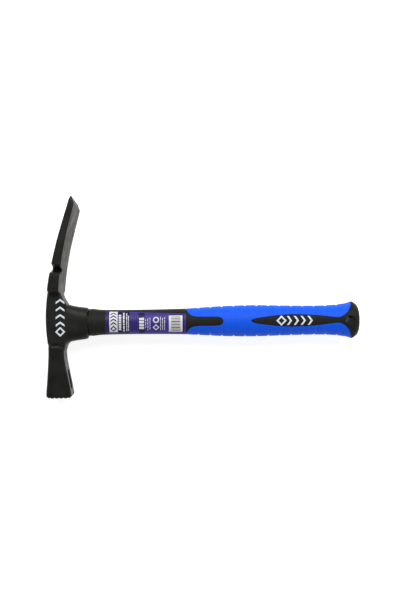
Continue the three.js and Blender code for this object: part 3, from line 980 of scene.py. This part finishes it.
def sleeve_mesh(settings):
    """The sleeve in two halves round the black areas, joined where blue runs right round."""
    centres = ring_centres(settings)
    xs = dense_rows(GRIP_START, GRIP_END, 1.5, (TONGUE_TIP, 3.5), (INLAY_TIP, 3.5), (GRIP_START, 6),
                    (GRIP_END, 8), *[(centre, RING_REACH) for centre in centres])
    half = np.where(xs <= TONGUE_TIP, tongue_half(xs), np.where(xs >= INLAY_TIP, inlay_half(xs), 0))
    is_open = half > 0
    start = np.arcsin(np.clip((half + np.where(is_open, PARTING, 0)) / grip_radius(xs), 0, 1))
    start[[0, -1]] = math.pi / 2
    depths = settings.ring_depth / MM * np.exp(-((xs[:, None] - centres) / RING_WIDTH) ** 2).sum(1)
    places = (COLUMNS + 1) / 2
    parts = []
    for side in (1, -1):
        outer, inner = [], []
        for x, radius, depth, first in zip(xs, grip_radius(xs), depths, start):
            angles = side * (first + (math.pi - 2 * first) * places)
            fade = RING_FAINT + (1 - RING_FAINT) * np.abs(np.sin(angles)) ** RING_FADE
            outer.append(handle_point(x, radius - depth * fade, angles))
            inner.append(handle_point(x, UNDER_GRIP_RADIUS + GAP, angles))
        parts.append(shell_part(np.stack(outer), np.stack(inner), is_open, [tongue_curve, inlay_curve]))
    return join_parts("soft_sleeve", parts)


class HAMMER_OT_sleeve(bpy.types.Operator):
    """Makes the soft blue sleeve with its ring grooves"""
    bl_idname = "hammer.sleeve"
    bl_label = "Soft sleeve"

    def execute(self, context):
        settings = context.scene.hammer_grip
        piece = link_mesh("soft_sleeve", sleeve_mesh(settings))
        finish_piece(piece, blue_rubber(settings), smooth_angle=50)
        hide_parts("grip_sleeve")
        return {"FINISHED"}


# ---------------------------------------------------------------- printed marks
def rectangle(left, right, low, high):
    """A rectangle's outline."""
    return [(left, low), (right, low), (right, high), (left, high)]


def dashes(left, right, low, high, gap, lengths):
    """A row of plain bars between low and high, of the given relative lengths."""
    scale = (high - low - gap * (len(lengths) - 1)) / sum(lengths)
    bars = []
    for part in lengths:
        bars.append(rectangle(left, right, low, low + part * scale))
        low += part * scale + gap
    return bars


def ring(u, v, radius, sides, hollow=0.62):
    """A flat ring about (u, v), as four-cornered patches; four sides make it a diamond."""
    turns = np.linspace(0, 2 * math.pi, sides + 1)
    outer, inner = (
        [(u + size * math.cos(turn), v + size * math.sin(turn)) for turn in turns]
        for size in (radius, hollow * radius))
    return [[outer[k], outer[k + 1], inner[k + 1], inner[k]] for k in range(sides)]


def emblem(span, height):
    """A plain mark: an open diamond followed by chevrons."""
    start, stop = span
    size = height * 0.58
    middle = start + size
    outlines = ring(middle, 0, size, 4, hollow=0.58)
    arm = height * 0.24
    point = height * 0.36
    first = middle + size + point * 0.05
    pitch = (stop - first - arm - point) / (CHEVRONS - 1)
    for left in first + pitch * np.arange(CHEVRONS):
        for side in (-1, 1):
            outlines.append([(left, side * height / 2), (left + arm, side * height / 2),
                             (left + arm + point, 0), (left + point, 0)][::side])
    return outlines


def stamp():
    """The mark in little, running up the label's first panel."""
    return [[(STAMP_U - v, place) for place, v in outline] for outline in emblem(STAMP_SPAN, STAMP_HEIGHT)]


def film_mesh(name, outlines, project, lift, cell=1.2):
    """Thin closed films over a surface, from flat outlines and a rule that lays them on it."""
    build = bmesh.new()
    for outline in outlines:
        build.faces.new([build.verts.new((u, v, 0)) for u, v in outline])
    along_u = [vert.co.x for vert in build.verts]
    along_v = [vert.co.y for vert in build.verts]
    for axis, values in ((Vector((1, 0, 0)), along_u), (Vector((0, 1, 0)), along_v)):
        for place in np.arange(min(values) + cell, max(values), cell):
            bmesh.ops.bisect_plane(
                build, geom=[*build.verts, *build.edges, *build.faces], dist=1e-5,
                plane_co=axis * float(place), plane_no=axis)
    faces = list(build.faces)
    top = bmesh.ops.extrude_face_region(build, geom=faces)["geom"]
    lifted = {item for item in top if isinstance(item, bmesh.types.BMVert)}
    for vert in build.verts:
        height = lift[1] if vert in lifted else lift[0]
        vert.co = Vector(project(vert.co.x, vert.co.y, height)) * MM + ORIGIN
    bmesh.ops.recalc_face_normals(build, faces=build.faces)
    mesh = bpy.data.meshes.new(name)
    build.to_mesh(mesh)
    build.free()
    return mesh


def on_shaft(u, v, lift):
    """A place on the upper side of the shaft."""
    angle = v / LABEL_ROLL
    radius = float(shaft_radius(u)) + lift
    return u, radius * math.sin(angle), FLATNESS * radius * math.cos(angle)


def on_palm(u, v, lift):
    """A place on the palm inlay of the upper side."""
    radius = float(grip_radius(u)) + lift
    return u, v, FLATNESS * math.sqrt(radius ** 2 - v ** 2)


def on_underside(u, v, lift):
    """A place on the palm inlay of the under side."""
    x, y, z = on_palm(u, v, lift)
    return x, y, -z


def on_cheek(u, v, lift):
    """A place on the eye's cheek, with u running up the head."""
    return CHEEK_MARK_X - v, u, EYE_HALF + lift


class HAMMER_OT_label(bpy.types.Operator):
    """Lays the printed film on the shaft, with plain panels, bars and stripes"""
    bl_idname = "hammer.label"
    bl_label = "Shaft label"

    def execute(self, context):
        settings = context.scene.hammer_label
        film = print_ink("label_film", tuple(settings.film), 0.3, 0.14)
        dark = print_ink("label_dark", tuple(settings.dark), 0.3, 0.14)
        white = print_ink("label_white", tuple(settings.white), 0.34, 0.3)
        grey = print_ink("label_grey", tuple(settings.grey), 0.34, 0.3)

        bands = [rectangle(*sides) for sides in DARK_BANDS]
        bands += [rectangle(left, left + STRIPE_WIDTH, -9.5, 6.2) for left in STRIPES]
        white_print = [rectangle(*sides) for sides in WHITE_PANELS]
        for row in DASH_ROWS:
            white_print += dashes(*row)
        for shape in RINGS:
            white_print += ring(*shape)
        bars = [rectangle(*PANEL_BAR_SIDES, low, low + width) for low, width in PANEL_BARS]
        for name, outlines, ink, lift in (
                ("label_film", [LABEL_OUTLINE], film, FILM_LIFT),
                ("label_bands", bands, dark, BAND_LIFT),
                ("label_print", white_print, white, PRINT_LIFT),
                ("label_stamp", stamp(), dark, TOP_LIFT),
                ("label_bars", bars, grey, TOP_LIFT)):
            piece = link_mesh(name, film_mesh(name, outlines, on_shaft, lift))
            finish_piece(piece, ink)
            if name == "label_film":
                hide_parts("shaft_label")
        return {"FINISHED"}


class HAMMER_OT_emblems(bpy.types.Operator):
    """Prints a plain white mark on the cheek of the eye and on both palm inlays"""
    bl_idname = "hammer.emblems"
    bl_label = "Printed marks"

    def execute(self, context):
        white = print_ink("mark_white", tuple(context.scene.hammer_label.mark), 0.4, 0.3)
        on_head = emblem(CHEEK_MARK_SPAN, CHEEK_MARK_HEIGHT)
        on_grip = emblem(PALM_MARK_SPAN, PALM_MARK_HEIGHT)
        for name, outlines, project, lift, cell in (
                ("cheek_mark", on_head, on_cheek, CHEEK_MARK_LIFT, 1.2),
                ("palm_mark", on_grip, on_palm, PALM_MARK_LIFT, 0.8),
                ("underside_mark", on_grip, on_underside, PALM_MARK_LIFT, 0.8)):
            piece = link_mesh(name, film_mesh(name, outlines, project, lift, cell))
            finish_piece(piece, white)
        return {"FINISHED"}


# ---------------------------------------------------------------- studio
def area_light(name, place, aim, power):
    """A wide soft lamp at a place, turned towards what it lights."""
    data = bpy.data.lights.new(name, "AREA")
    data.shape = "RECTANGLE"
    data.size, data.size_y = LAMP_SIZE
    data.energy = power
    lamp = bpy.data.objects.new(name, data)
    bpy.context.scene.collection.objects.link(lamp)
    lamp.location = place
    lamp.rotation_mode = "QUATERNION"
    lamp.rotation_quaternion = (aim - place).to_track_quat("-Z", "Y")


def studio_floor(settings):
    """A wide plain table top that glows a little, so that shadows stay faint."""
    mesh = bpy.data.meshes.new("floor")
    around = ((-1, -1), (1, -1), (1, 1), (-1, 1))
    corners = [(x * FLOOR_HALF, y * FLOOR_HALF, CAD_BOX[0].z) for x, y in around]
    mesh.from_pydata(corners, [], [(0, 1, 2, 3)])
    floor = link_mesh("floor", mesh)
    nodes = Nodes("floor")
    nodes.set(Base_Color=(*settings.floor, 1), Roughness=0.7, Specular_IOR_Level=0.2,
              Emission_Color=(1, 1, 1, 1), Emission_Strength=settings.glow)
    mesh.materials.append(nodes.material)


def studio_world(settings):
    """Pale walls round the table, fading into a dark ceiling that keeps black surfaces black."""
    world = bpy.data.worlds.new("studio")
    world.use_nodes = True
    tree = world.node_tree
    place = tree.nodes.new("ShaderNodeTexCoord")
    parts = tree.nodes.new("ShaderNodeSeparateXYZ")
    fade = tree.nodes.new("ShaderNodeMapRange")
    fade.interpolation_type = "SMOOTHSTEP"
    fade.inputs["From Min"].default_value, fade.inputs["From Max"].default_value = WALL_FADE
    fade.inputs["To Min"].default_value = settings.walls
    fade.inputs["To Max"].default_value = settings.ceiling
    tree.links.new(place.outputs["Generated"], parts.inputs["Vector"])
    tree.links.new(parts.outputs["Z"], fade.inputs["Value"])
    tree.links.new(fade.outputs["Result"], tree.nodes["Background"].inputs["Strength"])
    tree.nodes["Background"].inputs["Color"].default_value = (1, 1, 1, 1)
    bpy.context.scene.world = world


def studio_camera():
    """Looks down on the hammer from above the shaft, turned a little towards the grip."""
    place = Vector(CAMERA_PLACE) * MM + ORIGIN
    aim = Vector(CAMERA_AIM) * MM + ORIGIN
    roll = math.radians(CAMERA_ROLL)
    forward = (aim - place).normalized()
    right = forward.cross(Vector((-math.sin(roll), math.cos(roll), 0))).normalized()
    up = right.cross(forward)
    data = bpy.data.cameras.new("camera")
    data.sensor_width = 36
    data.lens = CAMERA_LENS
    data.clip_start, data.clip_end = 0.01, 20
    camera = bpy.data.objects.new("camera", data)
    bpy.context.scene.collection.objects.link(camera)
    camera.matrix_world = Matrix.Translation(place) @ Matrix((right, up, -forward)).transposed().to_4x4()
    bpy.context.scene.camera = camera


class HAMMER_OT_studio(bpy.types.Operator):
    """Sets the pale floor, the soft lights and the camera"""
    bl_idname = "hammer.studio"
    bl_label = "Studio"

    def execute(self, context):
        settings = context.scene.hammer_studio
        studio_floor(settings)
        studio_world(settings)
        middle = Vector(HAMMER_MIDDLE) * MM + ORIGIN
        area_light("key", middle + Vector(KEY_PLACE), middle, settings.key)
        area_light("fill", middle + Vector(FILL_PLACE), middle, settings.fill)
        studio_camera()
        context.scene.view_settings.view_transform = "Standard"
        return {"FINISHED"}


# ---------------------------------------------------------------- panel and registration
STEPS = (HAMMER_OT_head, HAMMER_OT_core, HAMMER_OT_jacket, HAMMER_OT_sleeve, HAMMER_OT_label,
         HAMMER_OT_emblems, HAMMER_OT_studio)
SETTINGS = {
    "hammer_head": HeadSettings, "hammer_handle": HandleSettings, "hammer_grip": GripSettings,
    "hammer_label": LabelSettings, "hammer_studio": StudioSettings,
}


class HAMMER_PT_panel(bpy.types.Panel):
    """Lists the hammer's pieces and their settings"""
    bl_idname = "HAMMER_PT_panel"
    bl_label = "Adze Hammer"
    bl_space_type = "VIEW_3D"
    bl_region_type = "UI"
    bl_category = "Hammer"

    def draw(self, context):
        for step in STEPS:
            self.layout.operator(step.bl_idname)
        for name, group in SETTINGS.items():
            box = self.layout.box()
            box.label(text=name.replace("_", " ").capitalize())
            for key in group.__annotations__:
                box.prop(getattr(context.scene, name), key)


def register():
    for cls in (*SETTINGS.values(), *STEPS, HAMMER_PT_panel):
        bpy.utils.register_class(cls)
    for name, group in SETTINGS.items():
        setattr(bpy.types.Scene, name, bpy.props.PointerProperty(type=group))


def unregister():
    for name in SETTINGS:
        delattr(bpy.types.Scene, name)
    for cls in (HAMMER_PT_panel, *reversed(STEPS), *reversed(list(SETTINGS.values()))):
        bpy.utils.unregister_class(cls)


def main():
    register()
    for step in STEPS:
        family, action = step.bl_idname.split(".")
        getattr(getattr(bpy.ops, family), action)()


if __name__ == "__main__":
    main()
